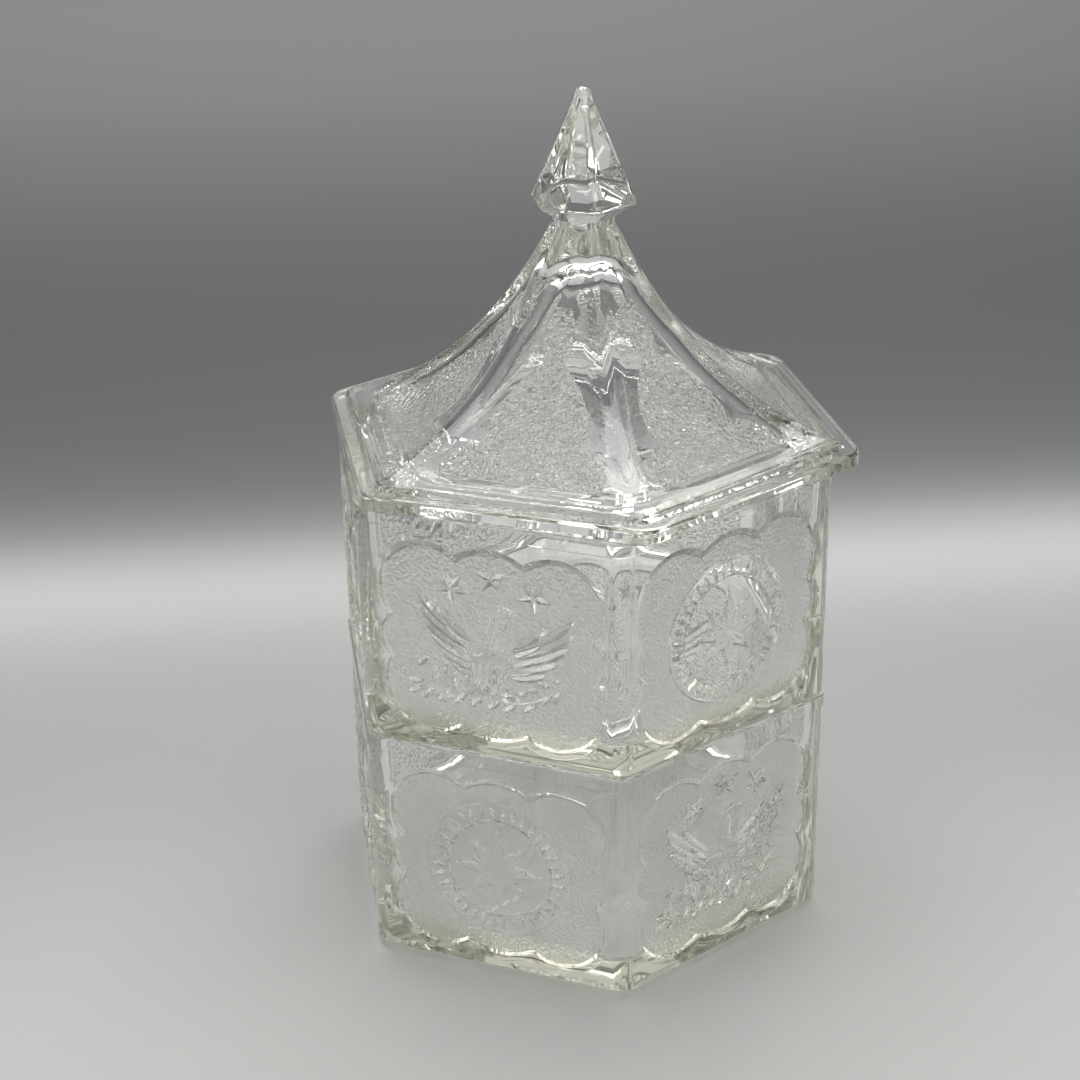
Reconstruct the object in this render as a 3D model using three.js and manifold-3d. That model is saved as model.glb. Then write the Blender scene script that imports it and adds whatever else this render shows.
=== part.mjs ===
// Two-tier candy box in pressed clear glass
//
// Three pieces stack on one upright axis: a lower box, an upper box from the same mould that is
// turned round by one face, and a lid like a six-sided pagoda roof with a spire for a knob.
// Units are millimetres and +Z is up. The origin is the middle of the lower foot, on the table.
// One corner of the hexagon points to the front, along -Y.

import * as THREE from 'three';
import { mergeVertices } from 'three/addons/utils/BufferGeometryUtils.js';
import Module from 'manifold-3d';

// The hexagon that all the pieces share
const face_count = 6;
const corner_steps = 5;

// Box: one mould serves both tiers
const box_width = 136;            // across the flats, outside
const box_corner_round = 9;
const body_height = 72;           // from the underside of the wall to the rim
const foot_height = 2;            // flat foot that drops into the mouth below
const foot_bevel = 0.6;
const rim_wall = 4.6;             // wall thickness at the mouth
const floor_wall = 6.6;           // wall thickness at the floor, thicker by the draft
const floor_thickness = 6;
const floor_round = 4;            // hollow curve between floor and wall
const inside_corner_round = 6;
const base_bevel = 1.2;
const band_height = 4.8;          // plain band round the rim
const band_step = 0.5;            // how far the band stands out
const rim_bevel = 0.9;
const mouth_bevel = 0.6;

// Scalloped panel pressed into each face of a box
const panel_side_margin = 6.1;    // from the sharp corners of the hexagon
const panel_foot_margin = 2;      // from the underside of the wall
const panel_band_margin = 3.2;    // from the band at the rim
const panel_depth = 1.2;
const panel_slope = 0.9;          // how far the pressed edge slopes in

// Lid
const lid_overhang = 3.5;         // how far the flange reaches past the box
const flange_thickness = 4.8;
const flange_corner_round = 7;
const flange_bevel = 0.8;
const lip_play = 5.4;             // from the locating lip to the mouth it drops into
const lip_height = 3;
const lip_thickness = 4.5;
const lip_bevel = 0.4;
const ledge_width = 4.4;          // flat ledge between the flange's edge and the roof
const riser_height = 1.8;
const riser_run = 1.1;
const roof_height = 56.8;         // from the top of the riser to the neck
const roof_sag_out = 22.5;        // the pull that hollows the roof: outwards from the neck
const roof_sag_up = 9.5;          // and upwards from the riser
const roof_steps = 18;
const hip_round_foot = 4;         // rounding of the hips at the flange
const hip_round_neck = 2;

// Hollow under the roof
const dome_width = 25;            // round dome at the top of the hollow
const dome_foot_height = 46.2;    // above the underside of the flange
const dome_steps = 4;
const hollow_foot_height = 3.6;
const hollow_sag_out = 17.5;      // the same two pulls for the line of the hollow
const hollow_sag_up = 15.9;
const hollow_steps = 9;
const hollow_corner_round = 9;

// Panels pressed into the six roof faces
const roof_panel_depth = 1.2;
const roof_panel_slope = 4.2;     // how far the pressed edge slopes in
const roof_panel_steps = 32;

// Spire
const neck_width = 16.6;
const neck_flare = 1;             // how far the roof's line ends outside the neck
const neck_height = 3.6;
const spire_width = 27.7;
const spire_under_height = 3.4;   // the slanting underside
const spire_edge_height = 1.4;    // the rounded edge above it
const spire_edge_run = 1.2;
const spire_height = 31.6;        // from the widest place to the tip
const spire_corner_round = 2.4;
const spire_tip_width = 5;
const spire_tip_height = 2.4;
const spire_tip_steps = 3;
const facet_depth = 0.5;          // flat facets pressed into the spire's six sides
const facet_margin = 1.3;         // from the edges of the side
const facet_foot = 6.4;           // from the widest place
const facet_top = 5;              // from the tip

// How the pieces sit
const seat_gap = 0.3;             // between pieces that rest on each other
const foot_play = 1;              // from the foot to the mouth it drops into
const lid_shift = 3.4;            // the lid lies loose: pushed this far off the middle
const lid_shift_turn = -21.5;     // in this direction, degrees from +X
const lid_turn = 2;               // and turned by this many degrees

// Overrun of every cutting solid past the surface that it cuts
const overrun = 4;
const slope_overrun_share = 0.3;  // of a roof panel's depth, where its sloping edge runs on

// Lobes of a panel's outline, as shares of its half width and half height.
// Each row is the end of a lobe and how far the lobe swells, as a share of its chord.
const side_lobe_shares = [
  [0.301, 0.819, 0.28],
  [0.997, 0.516, 0.41],
  [0.952, 0.219, 0.05],
  [0.952, -0.219, 0.12],
  [0.997, -0.516, 0.05],
  [0.301, -0.819, 0.41],
  [-0.301, -0.819, 0.28],
  [-0.997, -0.516, 0.41],
  [-0.952, -0.219, 0.05],
  [-0.952, 0.219, 0.12],
  [-0.997, 0.516, 0.05],
  [-0.301, 0.819, 0.41],
];

// Tiers of the roof's panel, as shares of the distance from the axis to the foot of the roof:
// where a tier starts and ends, its half width there, and how far it swells between
const roof_tier_shares = [
  [0.27, 0.43, 0.02, 0.042, 0.034],
  [0.43, 0.72, 0.05, 0.195, 0.073],
  [0.72, 0.885, 0.258, 0.353, 0.045],
];
const side_lobe_steps = 6;

// Sizes that follow from the ones above
const face_turn = (2 * Math.PI) / face_count;
const box_half = box_width / 2;
const mouth_half = box_half - rim_wall;
const rim_height = foot_height + body_height;
const panel_half_width = box_half * Math.tan(face_turn / 2) - panel_side_margin;
const panel_top = body_height - band_height - panel_band_margin;
const panel_half_height = (panel_top - panel_foot_margin) / 2;
const lid_half = box_half + lid_overhang;
const roof_foot_half = lid_half - ledge_width - riser_run;
const roof_foot_height = flange_thickness + riser_height;
const roof_top_height = roof_foot_height + roof_height;
const neck_half = neck_width / 2;
const roof_neck_half = neck_half + neck_flare;
const dome_half = dome_width / 2;
const lip_half = mouth_half - lip_play;
const hollow_half = lip_half - lip_thickness;
const tier_height = body_height + seat_gap;
const spire_foot = roof_top_height + neck_height + spire_under_height + spire_edge_height;
const spire_tip = spire_foot + spire_height;

const wasm = await Module();
wasm.setup();

// A closed geometry becomes a solid that can be joined and cut
function toSolid(geometry) {
  geometry.deleteAttribute('normal');
  geometry.deleteAttribute('uv');
  const merged = mergeVertices(geometry);
  return new wasm.Manifold(new wasm.Mesh({
    numProp: 3,
    vertProperties: merged.attributes.position.array,
    triVerts: new Uint32Array(merged.index.array),
  }));
}

function toGeometry(solid) {
  const mesh = solid.getMesh();
  const geometry = new THREE.BufferGeometry();
  geometry.setAttribute('position', new THREE.BufferAttribute(mesh.vertProperties, 3));
  geometry.setIndex(new THREE.BufferAttribute(mesh.triVerts, 1));
  geometry.computeVertexNormals();
  return geometry;
}

// One level of a hexagonal form: its corners are rounded, and one of them points along -Y
function hexRing([half, height, round]) {
  const radius = Math.min(round, half);
  const reach = (half - radius) / Math.cos(face_turn / 2);
  const ring = [];
  for (let corner = 0; corner < face_count; corner += 1) {
    const middle = corner * face_turn - Math.PI / 2;
    for (let step = 0; step <= corner_steps; step += 1) {
      const turn = middle + face_turn * (step / corner_steps - 1 / 2);
      ring.push(
        reach * Math.cos(middle) + radius * Math.cos(turn),
        reach * Math.sin(middle) + radius * Math.sin(turn),
        height,
      );
    }
  }
  return ring;
}

// A hexagonal lathe: the profile runs from the axis, round the section and back to the axis.
// Each level of the profile is half the width across the flats, the height and the rounding.
function hexTurned(start_height, levels, end_height) {
  const size = face_count * (corner_steps + 1);
  const positions = [0, 0, start_height];
  levels.forEach((level) => positions.push(...hexRing(level)));
  positions.push(0, 0, end_height);
  const last = levels.length * size + 1;
  const index = [];
  const at = (level, place) => 1 + level * size + (place % size);
  for (let place = 0; place < size; place += 1) {
    index.push(0, at(0, place + 1), at(0, place));
    for (let level = 0; level < levels.length - 1; level += 1) {
      index.push(at(level, place), at(level, place + 1), at(level + 1, place + 1));
      index.push(at(level, place), at(level + 1, place + 1), at(level + 1, place));
    }
    index.push(at(levels.length - 1, place), at(levels.length - 1, place + 1), last);
  }
  const geometry = new THREE.BufferGeometry();
  geometry.setAttribute('position', new THREE.Float32BufferAttribute(positions, 3));
  geometry.setIndex(index);
  return toSolid(geometry);
}

// Points of one lobe from a to b, swelling to the left of the way by a share of its chord
function lobe(a, b, swell_share) {
  const chord = b.distanceTo(a);
  const sag = chord * swell_share;
  const radius = (chord * chord / 4 + sag * sag) / (2 * sag);
  const along = b.clone().sub(a).divideScalar(chord);
  const left = new THREE.Vector2(-along.y, along.x);
  const centre = a.clone().add(b).divideScalar(2).addScaledVector(left, sag - radius);
  const half_turn = Math.atan2(chord / 2, radius - sag);
  const points = [];
  for (let step = 1; step <= side_lobe_steps; step += 1) {
    const turn = half_turn * (2 * step / side_lobe_steps - 1);
    points.push(centre.clone()
      .addScaledVector(along, radius * Math.sin(turn))
      .addScaledVector(left, radius * Math.cos(turn)));
  }
  return points;
}

// A closed outline of lobes: rows of place and swell, scaled to the panel that they follow
function lobedShape(rows, half_width, half_height) {
  const ends = rows.map(([x, y]) => new THREE.Vector2(x * half_width, y * half_height));
  const points = [];
  rows.forEach((row, i) => {
    points.push(...lobe(ends[(i + rows.length - 1) % rows.length], ends[i], row[2]));
  });
  return new THREE.Shape(points);
}

// Turn a solid onto each of the faces in the list, and join the copies
function onFaces(makeForFace, faces) {
  return faces.map(makeForFace).reduce((all, next) => all.add(next));
}

const all_faces = Array.from({ length: face_count }, (unused, face) => face);

// Directions on a face: across it, up, and straight out of it
function faceFrame(face) {
  const turn = (face + 1 / 2) * face_turn - Math.PI / 2;
  return {
    out: new THREE.Vector3(Math.cos(turn), Math.sin(turn), 0),
    across: new THREE.Vector3(-Math.sin(turn), Math.cos(turn), 0),
    up: new THREE.Vector3(0, 0, 1),
  };
}

// The scalloped cut of one side panel: full size at the wall's face, smaller at its floor
function sidePanelCut(face) {
  const { out, across, up } = faceFrame(face);
  const shape = lobedShape(side_lobe_shares, panel_half_width, panel_half_height);
  const geometry = new THREE.ExtrudeGeometry(shape, {
    depth: overrun,
    bevelEnabled: true,
    bevelSegments: 1,
    bevelThickness: panel_depth,
    bevelSize: panel_slope,
    bevelOffset: -panel_slope,
  });
  const place = out.clone().multiplyScalar(box_half);
  place.addScaledVector(up, foot_height + panel_foot_margin + panel_half_height);
  geometry.applyMatrix4(new THREE.Matrix4().makeBasis(across, up, out).setPosition(place));
  return toSolid(geometry);
}

// One box: flat foot, wall with a band at the rim, rounded inside, open at the top
function boxSolid() {
  const foot_half = mouth_half - foot_play;
  const band_half = box_half + band_step;
  const floor_height = foot_height + floor_thickness;
  const floor_half = box_half - floor_wall;
  const round = box_corner_round;
  const inside = inside_corner_round;
  const levels = [
    [foot_half - foot_bevel, 0, inside - foot_bevel],
    [foot_half, foot_bevel, inside],
    [foot_half, foot_height, inside],
    [box_half - base_bevel, foot_height, round - base_bevel],
    [box_half, foot_height + base_bevel, round],
    [box_half, rim_height - band_height, round],
    [band_half, rim_height - band_height + band_step, round + band_step],
    [band_half, rim_height - rim_bevel, round + band_step],
    [band_half - rim_bevel, rim_height, round + band_step - rim_bevel],
    [mouth_half + mouth_bevel, rim_height, inside + mouth_bevel],
    [mouth_half, rim_height - mouth_bevel, inside],
    [floor_half, floor_height + floor_round, inside],
    [floor_half - floor_round * (1 - Math.cos(Math.PI / 4)),
      floor_height + floor_round * (1 - Math.sin(Math.PI / 4)), inside],
    [floor_half - floor_round, floor_height, inside],
  ];
  const body = hexTurned(0, levels, floor_height);
  return body.subtract(onFaces(sidePanelCut, all_faces));
}

// The hollow line of the roof, from the neck down to the riser
const roof_line = new THREE.QuadraticBezierCurve(
  new THREE.Vector2(roof_neck_half, roof_top_height),
  new THREE.Vector2(roof_neck_half + roof_sag_out, roof_foot_height + roof_sag_up),
  new THREE.Vector2(roof_foot_half, roof_foot_height),
);

// The line of the hollow under it, from the dome's shoulder down to the lip
const hollow_line = new THREE.QuadraticBezierCurve(
  new THREE.Vector2(dome_half, dome_foot_height),
  new THREE.Vector2(dome_half + hollow_sag_out, hollow_foot_height + hollow_sag_up),
  new THREE.Vector2(hollow_half, hollow_foot_height),
);

// The dome is part of a ball that meets the line of the hollow without a crease
const dome_start = hollow_line.getTangent(0);
const dome_turn = Math.atan2(-dome_start.y, dome_start.x);
const dome_radius = dome_half / Math.sin(dome_turn);
const dome_middle = dome_foot_height - dome_radius * Math.cos(dome_turn);

// Levels of the dome, from its crown out to its foot
function domeLevels() {
  const levels = [];
  for (let step = 1; step < dome_steps; step += 1) {
    const turn = dome_turn * (step / dome_steps);
    const half = dome_radius * Math.sin(turn);
    levels.push([half, dome_middle + dome_radius * Math.cos(turn), half]);
  }
  return levels;
}

// Levels along a line of the roof: the hips are rounded less towards the neck
function lineLevels(line, steps, round_start, round_end) {
  return line.getPoints(steps).map((point, i) => {
    const round = round_start + (round_end - round_start) * (i / steps);
    return [point.x, point.y, round];
  });
}

// Levels of the spire, from the neck up to its rounded tip
function spireLevels() {
  const half = spire_width / 2;
  const tip_half = spire_tip_width / 2;
  const levels = [
    [neck_half, roof_top_height + neck_height / 2, hip_round_neck],
    [neck_half, roof_top_height + neck_height, hip_round_neck],
    [half - spire_edge_run, spire_foot - spire_edge_height, spire_corner_round - spire_edge_run],
    [half, spire_foot, spire_corner_round],
    [half - spire_edge_run / 4, spire_foot + spire_edge_height, spire_corner_round],
  ];
  for (let step = 0; step < spire_tip_steps; step += 1) {
    const turn = (Math.PI / 2) * (step / spire_tip_steps);
    const tip_level = tip_half * Math.cos(turn);
    levels.push([
      tip_level,
      spire_tip - spire_tip_height * (1 - Math.sin(turn)),
      Math.min(spire_corner_round, tip_level),
    ]);
  }
  return levels;
}

// The point of the roof's line at a distance from the axis
function roofPoint(distance) {
  let low = 0;
  let high = 1;
  for (let halving = 0; halving < 40; halving += 1) {
    const middle = (low + high) / 2;
    if (roof_line.getPoint(middle).x < distance) low = middle;
    else high = middle;
  }
  return { place: roof_line.getPoint(low), tangent: roof_line.getTangent(low) };
}

const first_tier = roof_tier_shares[0];
const last_tier = roof_tier_shares[roof_tier_shares.length - 1];
const panel_inner_end = first_tier[0] * roof_foot_half;
const panel_outer_end = last_tier[1] * roof_foot_half;

// Half the width of a roof panel's floor at a distance from the axis
function floorHalf(distance) {
  const share = THREE.MathUtils.clamp(distance / roof_foot_half, first_tier[0], last_tier[1]);
  const tier = roof_tier_shares.find((row) => share <= row[1]);
  const along = (share - tier[0]) / (tier[1] - tier[0]);
  const straight = THREE.MathUtils.lerp(tier[2], tier[3], along);
  return (straight + tier[4] * 4 * along * (1 - along)) * roof_foot_half;
}

// Half its width just above the surface: the floor's outline, widened all round by the slope
const panel_widening = roof_panel_slope * (1 + slope_overrun_share);

function surfaceHalf(distance) {
  let widest = 0;
  for (let step = -roof_panel_steps; step <= roof_panel_steps; step += 1) {
    const shift = panel_widening * (step / roof_panel_steps);
    const from = distance + shift;
    if (from >= panel_inner_end && from <= panel_outer_end) {
      const side = Math.sqrt(panel_widening * panel_widening - shift * shift);
      widest = Math.max(widest, floorHalf(from) + side);
    }
  }
  return widest;
}

// The cut of one roof panel: sections that follow the hollow line of the roof
function roofPanelCut(face) {
  const { out, across } = faceFrame(face);
  const start = panel_inner_end - panel_widening;
  const end = panel_outer_end + panel_widening;
  const positions = [];
  const index = [];
  let corners = 0;
  for (let step = 0; step <= roof_panel_steps; step += 1) {
    const distance = start + (end - start) * (step / roof_panel_steps);
    const { place, tangent } = roofPoint(distance);
    const sunk_share = Math.min(distance - start, end - distance, panel_widening) / panel_widening;
    const floor = floorHalf(distance) * (1 + sunk_share) / 2;
    const wide = surfaceHalf(distance);
    const rise = roof_panel_depth * slope_overrun_share;
    const drop = rise - (rise + roof_panel_depth) * sunk_share;
    const section = [
      [-wide, overrun], [-wide, rise], [-floor, drop], [floor, drop], [wide, rise], [wide, overrun],
    ];
    corners = section.length;
    section.forEach(([sideways, lift]) => {
      const reach = place.x - tangent.y * lift;
      const point = out.clone().multiplyScalar(reach).addScaledVector(across, sideways);
      positions.push(point.x, point.y, place.y + tangent.x * lift);
    });
    if (step < roof_panel_steps) {
      for (let corner = 0; corner < corners; corner += 1) {
        const here = step * corners + corner;
        const next = step * corners + ((corner + 1) % corners);
        index.push(here, next, next + corners, here, next + corners, here + corners);
      }
    }
  }
  const last = roof_panel_steps * corners;
  for (let corner = 1; corner < corners - 1; corner += 1) {
    index.push(0, corner + 1, corner, last, last + corner, last + corner + 1);
  }
  const geometry = new THREE.BufferGeometry();
  geometry.setAttribute('position', new THREE.Float32BufferAttribute(positions, 3));
  geometry.setIndex(index);
  return toSolid(geometry);
}

// The cut of one flat facet of the spire, let into its sloping side
function facetCut(face) {
  const { out, across, up } = faceFrame(face);
  const rise = spire_height - spire_tip_height;
  const run = (spire_width - spire_tip_width) / 2;
  const length = Math.hypot(rise, run);
  const along = up.clone().multiplyScalar(rise).addScaledVector(out, -run).divideScalar(length);
  const normal = across.clone().cross(along);
  const halfAt = (distance) => {
    const reach = spire_width / 2 - run * (distance / length) - spire_corner_round;
    return Math.max(reach * Math.tan(face_turn / 2) + spire_corner_round / 2 - facet_margin, 0);
  };
  const top = length - facet_top;
  const foot_reach = halfAt(facet_foot);
  const top_reach = halfAt(top) + facet_depth;
  const shape = new THREE.Shape([
    new THREE.Vector2(-foot_reach, facet_foot),
    new THREE.Vector2(foot_reach, facet_foot),
    new THREE.Vector2(top_reach, top),
    new THREE.Vector2(-top_reach, top),
  ]);
  const geometry = new THREE.ExtrudeGeometry(shape, { depth: overrun, bevelEnabled: false });
  const place = out.clone().multiplyScalar(spire_width / 2).addScaledVector(up, spire_foot);
  place.addScaledVector(normal, -facet_depth);
  geometry.applyMatrix4(new THREE.Matrix4().makeBasis(across, along, normal).setPosition(place));
  return toSolid(geometry);
}

// The lid, measured from the underside of its flange
function lidSolid() {
  const round = flange_corner_round;
  const ledge_half = lid_half - ledge_width;
  const inner = hollow_corner_round;
  const levels = [
    ...domeLevels(),
    ...lineLevels(hollow_line, hollow_steps, dome_half, hollow_corner_round),
    [hollow_half, -lip_height + lip_bevel, inner],
    [hollow_half + lip_bevel, -lip_height, inner + lip_bevel],
    [lip_half - lip_bevel, -lip_height, inner],
    [lip_half, -lip_height + lip_bevel, inner],
    [lip_half, 0, inner],
    [lid_half - flange_bevel, 0, round - flange_bevel],
    [lid_half, flange_bevel, round],
    [lid_half, flange_thickness - flange_bevel, round],
    [lid_half - flange_bevel, flange_thickness, round - flange_bevel],
    [ledge_half, flange_thickness, hip_round_foot],
    ...lineLevels(roof_line, roof_steps, hip_round_neck, hip_round_foot).reverse(),
    ...spireLevels(),
  ];
  const body = hexTurned(dome_middle + dome_radius, levels, spire_tip);
  return body
    .subtract(onFaces(roofPanelCut, all_faces))
    .subtract(onFaces(facetCut, all_faces));
}

// Pressed glass, clear with a faint warm grey where it is thick
function glassMaterial() {
  return new THREE.MeshStandardMaterial({
    color: 0xe3e5dc,
    roughness: 0.06,
    metalness: 0,
    transparent: true,
    opacity: 0.45,
  });
}

function piece(name, solid) {
  const mesh = new THREE.Mesh(toGeometry(solid), glassMaterial());
  mesh.name = name;
  return mesh;
}

const candy_box = new THREE.Group();

const lower_box = piece('lower_box', boxSolid());
candy_box.add(lower_box);

// The upper box stands on the lower rim, its foot inside the mouth, turned by one face
const upper_box = piece('upper_box', boxSolid());
upper_box.position.z = tier_height;
upper_box.rotation.z = face_turn;
candy_box.add(upper_box);

// The lid lies loose on the upper rim, a little off the middle
const lid = piece('lid', lidSolid());
const shift_angle = THREE.MathUtils.degToRad(lid_shift_turn);
lid.position.set(
  lid_shift * Math.cos(shift_angle),
  lid_shift * Math.sin(shift_angle),
  rim_height + tier_height + seat_gap,
);
lid.rotation.z = THREE.MathUtils.degToRad(lid_turn);
candy_box.add(lid);

export default candy_box;
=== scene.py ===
# %% [markdown]
# # Two-tier candy box in clear pressed glass
#
# The real object is three pressings of thick clear glass: two six-sided boxes from one mould, stacked,
# and a lid like a pagoda roof with a faceted spire. Each face of a box has a scalloped panel with a
# stippled ground, and a relief stands in it: an eagle with a shield, or a star in a toothed ring.
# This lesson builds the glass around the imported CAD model. The CAD keeps the sizes and the joints, and
# the pieces made here carry the looks.

import math

import bmesh
import bpy
from mathutils import Matrix, Vector


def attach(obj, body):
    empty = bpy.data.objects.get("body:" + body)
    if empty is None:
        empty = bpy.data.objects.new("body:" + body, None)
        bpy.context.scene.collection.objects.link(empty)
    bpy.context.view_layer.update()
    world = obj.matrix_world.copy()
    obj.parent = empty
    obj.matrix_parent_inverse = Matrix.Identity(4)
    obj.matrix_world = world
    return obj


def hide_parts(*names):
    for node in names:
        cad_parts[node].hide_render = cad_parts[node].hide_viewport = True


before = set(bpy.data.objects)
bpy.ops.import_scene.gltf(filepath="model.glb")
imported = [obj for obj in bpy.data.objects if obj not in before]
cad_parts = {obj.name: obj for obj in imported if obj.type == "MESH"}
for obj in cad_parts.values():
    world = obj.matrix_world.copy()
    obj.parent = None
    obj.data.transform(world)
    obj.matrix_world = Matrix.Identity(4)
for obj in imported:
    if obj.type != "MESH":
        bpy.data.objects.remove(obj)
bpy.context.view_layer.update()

# %% [markdown]
# The camera looks down on the front corner from a little to the left, with a long lens, as in the
# photograph. The numbers come from fitting the edges of both boxes, the flange, the hips and the spire.

# %% Camera
MM = 0.001
camera_azimuth = math.radians(-8.2147)
camera_elevation = math.radians(24.5509)
camera_roll = math.radians(-1.1067)
camera_distance = 653.5 * MM
aim_height = 112.4 * MM
aim_sideways = -10.84 * MM

back = Vector(
    (
        math.sin(camera_azimuth) * math.cos(camera_elevation),
        -math.cos(camera_azimuth) * math.cos(camera_elevation),
        math.sin(camera_elevation),
    )
)
level_right = Vector((math.cos(camera_azimuth), math.sin(camera_azimuth), 0))
level_up = back.cross(level_right)
aim = Vector((0, 0, aim_height)) + level_right * aim_sideways
view_right = level_right * math.cos(camera_roll) + level_up * math.sin(camera_roll)
view_up = level_up * math.cos(camera_roll) - level_right * math.sin(camera_roll)

bpy.ops.object.camera_add(location=aim + back * camera_distance)
camera = bpy.context.object
camera.name = "camera"
camera.rotation_euler = Matrix((view_right, view_up, back)).transposed().to_euler()
camera.data.sensor_width = 36
camera.data.lens = 72.04
camera.data.clip_start = 0.01
camera.data.clip_end = 60
bpy.context.scene.camera = camera
print("camera at", [round(c, 3) for c in camera.location])

# %% [markdown]
# Glass shows what stands round it more than itself. The box stands on a sheet of grey paper, and its
# light and shade are painted on a flat floor along its depth: pale where the box stands, a painted
# highlight in a lighter band behind it where the sheet bends up, and painted shade, darker and cooler,
# further off. Through the glass this gives the same picture from the camera's side, and nothing stands
# in the way when the box is seen from behind. The band runs a little askew, so a Mapping node turns the
# tones by the same angle.


# %% Floor painted with the paper's light and shade
def srgb_to_linear(value):
    """Turn one picture value from 0 to 255 into the linear value a shader takes."""
    v = value / 255
    return v / 12.92 if v <= 0.04045 else ((v + 0.055) / 1.055) ** 2.4


floor_reach = 30
floor_drop = 0.15 * MM
band_turn = math.radians(4)
# The greys are painted light and shade: a painted highlight in the band round 0.2 m, and painted shade
# from 0.25 m to about 1.5 m.
floor_light_and_shade = [  # distance behind the box in metres, grey as seen
    (-0.60, 206),
    (-0.20, 198),
    (-0.08, 188),
    (0.00, 175),
    (0.06, 165),
    (0.12, 166),
    (0.165, 174),
    (0.20, 192),
    (0.225, 190),
    (0.25, 168),
    (0.28, 132),
    (0.32, 110),
    (0.38, 100),
    (0.50, 94),
    (0.66, 98),
    (0.85, 116),
    (1.10, 140),
    (1.50, 172),
    (2.60, 190),
]
tone_start = floor_light_and_shade[0][0]
tone_length = floor_light_and_shade[-1][0] - tone_start

bpy.ops.object.select_all(action="DESELECT")
bpy.ops.mesh.primitive_plane_add(size=2 * floor_reach, location=(0, 0, -floor_drop))
floor = bpy.context.object
floor.name = "floor"
paper = bpy.data.materials.new("grey_paper_painted_light")
paper.use_nodes = True
nodes, links = paper.node_tree.nodes, paper.node_tree.links
shader = nodes["Principled BSDF"]
shader.inputs["Roughness"].default_value = 0.85
shader.inputs["Specular IOR Level"].default_value = 0.2
where = nodes.new("ShaderNodeTexCoord")
turned = nodes.new("ShaderNodeMapping")
turned.inputs["Rotation"].default_value = (0, 0, band_turn)
split = nodes.new("ShaderNodeSeparateXYZ")
depth = nodes.new("ShaderNodeMapRange")
depth.inputs["From Min"].default_value = tone_start
depth.inputs["From Max"].default_value = tone_start + tone_length
tones = nodes.new("ShaderNodeValToRGB")
tones.color_ramp.interpolation = "B_SPLINE"
while len(tones.color_ramp.elements) < len(floor_light_and_shade):
    tones.color_ramp.elements.new(0.5)
for element, (place, grey) in zip(tones.color_ramp.elements, floor_light_and_shade):
    element.position = (place - tone_start) / tone_length
for element, (place, grey) in zip(tones.color_ramp.elements, floor_light_and_shade):
    # Darker greys get a cooler tint as part of the painted shade.
    level, painted_shade_cool = srgb_to_linear(grey), max(0, 190 - grey) / 90
    element.color = (level, level * (1.02 + 0.04 * painted_shade_cool), level * (0.99 + 0.05 * painted_shade_cool), 1)
links.new(where.outputs["Object"], turned.inputs["Vector"])
links.new(turned.outputs["Vector"], split.inputs[0])
links.new(split.outputs["Y"], depth.inputs["Value"])
links.new(depth.outputs["Result"], tones.inputs["Fac"])
links.new(tones.outputs["Color"], shader.inputs["Base Color"])
floor.data.materials.append(paper)
print("floor tones:", len(tones.color_ramp.elements))

# %% [markdown]
# Soft light comes from a wide panel overhead. It is wide so that both sides of the roof throw it back.
# A weak one far behind draws the bright lines on the level edges, and a weak one fills in from the front.
# The world is a plain grey that gets paler upwards. Every pale shape that a facet throws back is one of
# these. Light goes in and out of thick glass many times, so the paths may be longer than usual.


# %% Lights and world
def soft_light(name, place, aim_at, size, power):
    """A square area light that faces a point."""
    bpy.ops.object.light_add(type="AREA", location=place)
    lamp = bpy.context.object
    lamp.name = name
    lamp.data.size = size
    lamp.data.energy = power
    direction = Vector(aim_at) - Vector(place)
    lamp.rotation_euler = direction.to_track_quat("-Z", "Y").to_euler()
    return lamp


middle = (0, 0, 0.12)
soft_light("light_above", (0.03, 0.3, 1.3), middle, 1.3, 19)
soft_light("light_behind", (0.0, 1.7, 0.95), middle, 1.2, 1.5)
soft_light("light_front", (0.5, -1.6, 0.9), middle, 0.8, 4)

world = bpy.data.worlds.new("room")
world.use_nodes = True
bpy.context.scene.world = world
sky = world.node_tree.nodes["Background"]
sky.inputs["Strength"].default_value = 1
look = world.node_tree.nodes.new("ShaderNodeTexCoord")
part = world.node_tree.nodes.new("ShaderNodeSeparateXYZ")
rise = world.node_tree.nodes.new("ShaderNodeValToRGB")
rise.color_ramp.elements[0].position = 0.0
rise.color_ramp.elements[0].color = (0.06, 0.062, 0.066, 1)
rise.color_ramp.elements[1].position = 0.5
rise.color_ramp.elements[1].color = (0.3, 0.3, 0.3, 1)
world.node_tree.links.new(look.outputs["Generated"], part.inputs[0])
world.node_tree.links.new(part.outputs["Z"], rise.inputs["Fac"])
world.node_tree.links.new(rise.outputs["Color"], sky.inputs["Color"])
bpy.context.scene.view_settings.view_transform = "Standard"
paths = bpy.context.scene.cycles
paths.max_bounces = 28
paths.transmission_bounces = 28
paths.glossy_bounces = 16
paths.blur_glossy = 0

# %% [markdown]
# The stippled ground of a panel is a field of small round dents, like orange peel. Both the boxes and
# the roof have it, at different sizes, so it is one node group with its own inputs. It gives out a
# height, and each material turns that into a bump.


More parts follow.
